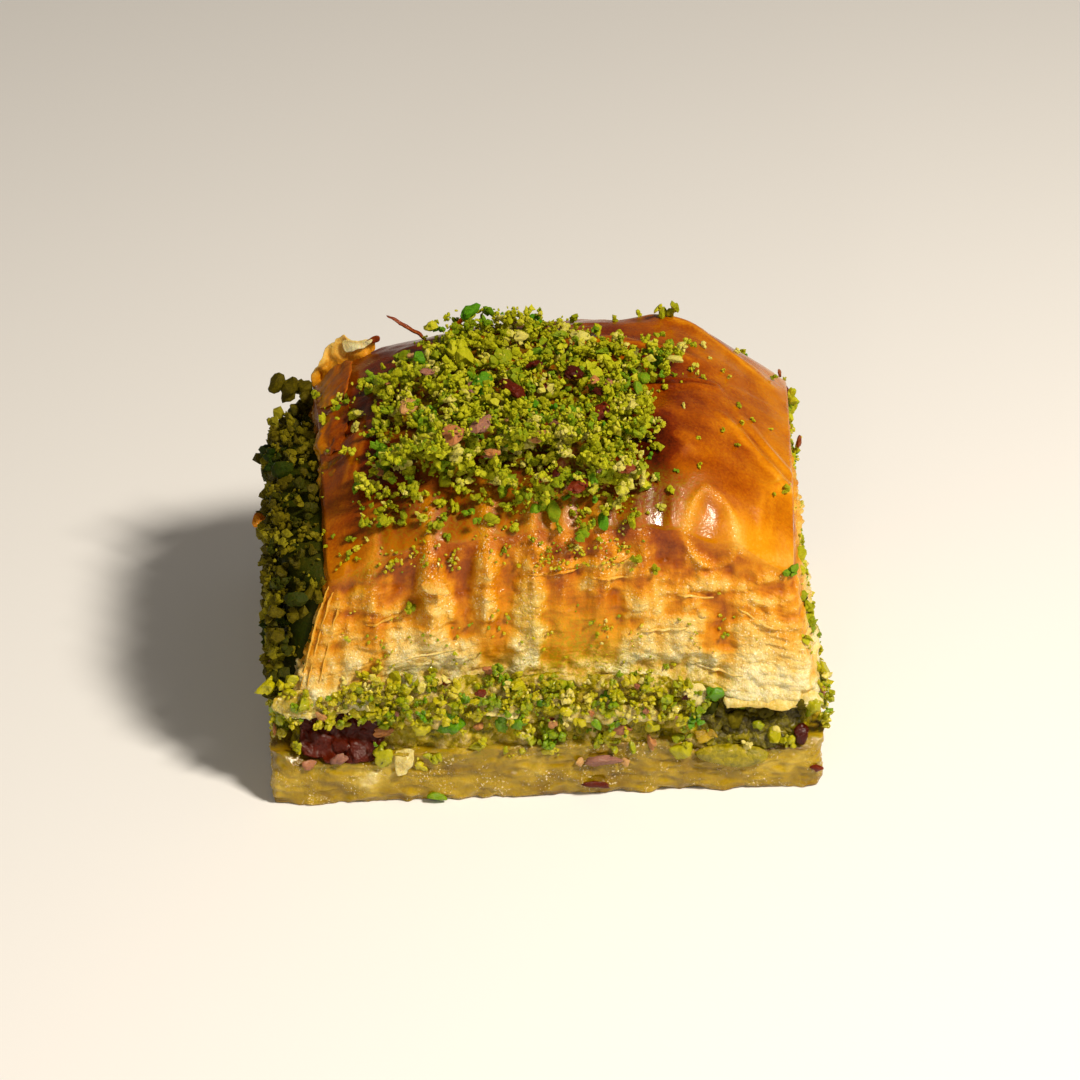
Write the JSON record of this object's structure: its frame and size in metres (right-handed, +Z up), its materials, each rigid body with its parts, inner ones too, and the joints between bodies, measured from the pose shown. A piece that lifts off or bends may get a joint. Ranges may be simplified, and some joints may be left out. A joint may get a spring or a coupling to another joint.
{
  "type": "baklava piece",
  "caption": "Square-cut piece of pistachio baklava: a soaked pastry base, a nut layer, a puffed browned top stack, and ground nuts on the crust and down one side.",
  "frame": {"origin": "middle of the bounding box's footprint, at the height of the base it rests on", "axes": "+Z up, front cut facing -Y, +X to the right along the front cut"},
  "size_m": [0.0484, 0.041, 0.0324],
  "materials": {
    "soaked_pastry": "syrup-soaked, translucent, wet gloss",
    "nut_filling": "chopped pistachio, moist with syrup",
    "baked_pastry": "browned, buttery gloss on crisp sheets",
    "ground_nuts": "dry ground pistachio, matt",
    "packed_nuts": "ground pistachio packed against the side, matt"
  },
  "bodies": {
    "root": {"lower_sheets": "soaked_pastry", "nut_filling": "nut_filling", "upper_sheets": "baked_pastry", "ground_nuts_top": "ground_nuts", "ground_nuts_left": "packed_nuts"}
  },
  "joints": []
}
